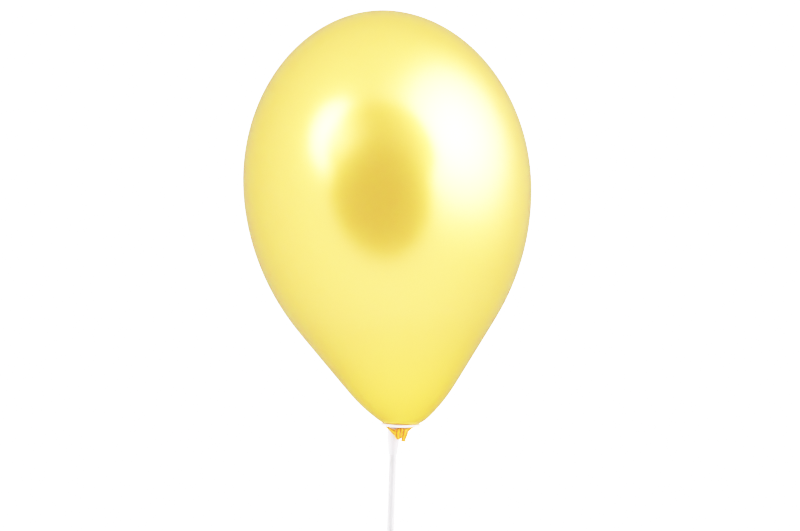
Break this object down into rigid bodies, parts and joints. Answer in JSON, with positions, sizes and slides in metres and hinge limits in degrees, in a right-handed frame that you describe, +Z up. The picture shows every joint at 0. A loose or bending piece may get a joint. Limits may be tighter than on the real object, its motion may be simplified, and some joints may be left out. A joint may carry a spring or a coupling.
{
  "type": "latex balloon",
  "caption": "Pear-shaped inflated latex balloon whose nose rocks in a shallow cup, with its neck tucked under, on a tubular stick.",
  "frame": {"origin": "centre of the stick's lower end", "axes": "+Z up the stick's axis, -Y to the front, where the neck is tucked, +X to the right as seen from the front"},
  "size_m": [0.2505, 0.25, 0.7649],
  "materials": {
    "bulb_latex": "pearl yellow, stretched thin, satin gloss",
    "neck_latex": "unstretched orange yellow, satin",
    "cup_plastic": "natural white moulded polypropylene",
    "stick_plastic": "white extruded tube"
  },
  "bodies": {
    "stick": {"stick": "stick_plastic"},
    "cup": {"cup": "cup_plastic", "neck_fold_left": "neck_latex", "neck_fold_right": "neck_latex", "neck_tail_left": "neck_latex", "neck_tail_right": "neck_latex", "rolled_lip": "neck_latex"},
    "twisted_neck": {"neck_gather": "neck_latex"},
    "nodding_neck": {"neck_throat": "neck_latex"},
    "bulb": {"bulb": "bulb_latex"}
  },
  "joints": [
    {"name": "cup_pull", "type": "slide", "parent": "stick", "child": "cup", "axis": [0, 0, 1], "range_m": [0, 0.022]},
    {"name": "bulb_twist", "type": "hinge", "parent": "cup", "child": "twisted_neck", "pos_m": [0.0058, 0, 0.438], "axis": [0, 0, 1], "range_deg": [-20, 20], "stiffness_Nm_per_rad": 0.02, "deforming": ["neck_gather", "neck_throat"]},
    {"name": "bulb_nod", "type": "hinge", "parent": "twisted_neck", "child": "nodding_neck", "pos_m": [0.0058, 0, 0.438], "axis": [1, 0, 0], "range_deg": [-8, 8], "stiffness_Nm_per_rad": 0.1},
    {"name": "bulb_sway", "type": "hinge", "parent": "nodding_neck", "child": "bulb", "pos_m": [0.0058, 0, 0.438], "axis": [0, 1, 0], "range_deg": [-2.8, 14.7], "stiffness_Nm_per_rad": 0.1}
  ]
}
